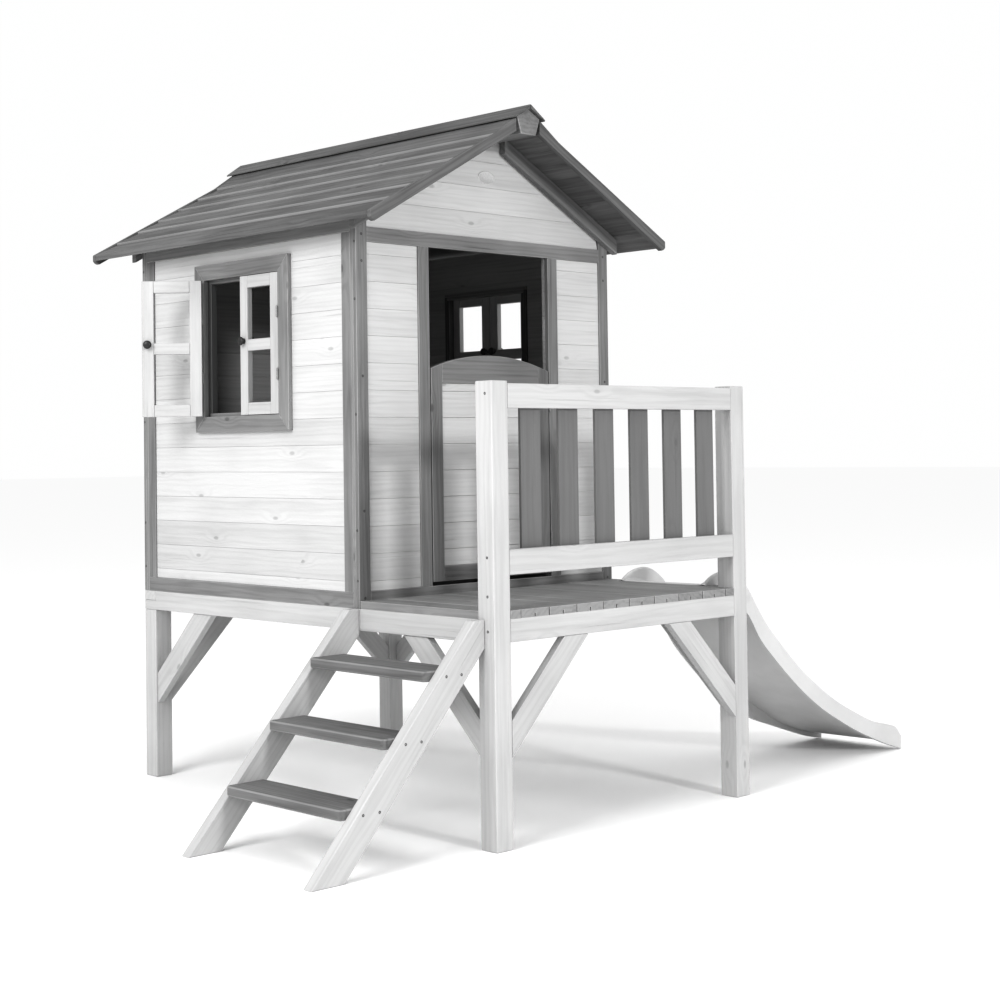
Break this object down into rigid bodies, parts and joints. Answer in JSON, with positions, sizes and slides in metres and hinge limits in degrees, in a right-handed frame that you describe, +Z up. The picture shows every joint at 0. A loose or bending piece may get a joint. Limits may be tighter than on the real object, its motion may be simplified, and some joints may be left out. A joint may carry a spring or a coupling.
{
  "type": "children's playhouse on legs",
  "caption": "Wooden children's playhouse on legs with a railed deck, plank ladder, shuttered windows, half door and plastic slide.",
  "frame": {"origin": "middle of the bottom of the bounding box, on the ground", "axes": "+X from the ladder side to the slide side, +Y from the railing towards the back wall, +Z up"},
  "size_m": [2.427, 1.645, 1.8915],
  "materials": {
    "white_wood": "white painted softwood, matt",
    "grey_wood": "grey stained softwood, matt",
    "white_plastic": "moulded white plastic, smooth",
    "dark_knob": "dark turned knob, satin"
  },
  "bodies": {
    "house": {"post_front_left": "white_wood", "post_front_right": "white_wood", "leg_back_left": "white_wood", "leg_back_right": "white_wood", "beam_left_house": "white_wood", "beam_right_house": "white_wood", "beam_left_deck": "white_wood", "beam_right_deck": "white_wood", "beam_front": "white_wood", "beam_middle": "white_wood", "beam_back": "white_wood", "brace_front_left_across": "white_wood", "brace_front_left_along": "white_wood", "brace_front_right_across": "white_wood", "brace_front_right_along": "white_wood", "brace_back_left_across": "white_wood", "brace_back_left_along": "white_wood", "brace_back_right_across": "white_wood", "brace_back_right_along": "white_wood", "wall_front_boards": "white_wood", "wall_back_boards": "white_wood", "wall_left_boards": "white_wood", "wall_right_boards": "white_wood", "rail_top": "white_wood", "rail_bottom": "white_wood", "ladder_stringer_front": "white_wood", "ladder_stringer_rear": "white_wood", "deck_boards": "grey_wood", "house_floor": "grey_wood", "wall_front_frame": "grey_wood", "wall_back_frame": "grey_wood", "wall_left_frame": "grey_wood", "wall_right_frame": "grey_wood", "window_frame_left": "grey_wood", "window_frame_right": "grey_wood", "roof_left": "grey_wood", "roof_right": "grey_wood", "ridge_beam": "grey_wood", "ridge_cap": "grey_wood", "railing_slat_1": "grey_wood", "railing_slat_2": "grey_wood", "railing_slat_3": "grey_wood", "railing_slat_4": "grey_wood", "railing_slat_5": "grey_wood", "railing_slat_6": "grey_wood", "ladder_tread_1": "grey_wood", "ladder_tread_2": "grey_wood", "ladder_tread_3": "grey_wood", "slide": "white_plastic"},
    "left_rear_shutter": {"shutter_left_rear": "white_wood", "knob_left_rear": "dark_knob"},
    "left_front_shutter": {"shutter_left_front": "white_wood", "knob_left_front": "dark_knob"},
    "right_rear_shutter": {"shutter_right_rear": "white_wood", "knob_right_rear": "dark_knob"},
    "right_front_shutter": {"shutter_right_front": "white_wood", "knob_right_front": "dark_knob"},
    "half_door": {"door_frame": "grey_wood", "door_boards": "white_wood"}
  },
  "joints": [
    {"name": "left_rear_shutter_hinge", "type": "hinge", "parent": "house", "child": "left_rear_shutter", "pos_m": [-0.689, 0.334, 1.253], "axis": [0, 0, 1], "range_deg": [-38, 132]},
    {"name": "left_front_shutter_hinge", "type": "hinge", "parent": "house", "child": "left_front_shutter", "pos_m": [-0.689, -0.011, 1.253], "axis": [0, 0, 1], "range_deg": [0, 170]},
    {"name": "right_rear_shutter_hinge", "type": "hinge", "parent": "house", "child": "right_rear_shutter", "pos_m": [0.312, 0.334, 1.253], "axis": [0, 0, 1], "range_deg": [0, 170]},
    {"name": "right_front_shutter_hinge", "type": "hinge", "parent": "house", "child": "right_front_shutter", "pos_m": [0.312, -0.011, 1.253], "axis": [0, 0, 1], "range_deg": [-170, 0]},
    {"name": "half_door_hinge", "type": "hinge", "parent": "house", "child": "half_door", "pos_m": [0.0425, -0.3325, 0.889], "axis": [0, 0, 1], "range_deg": [0, 75]}
  ]
}
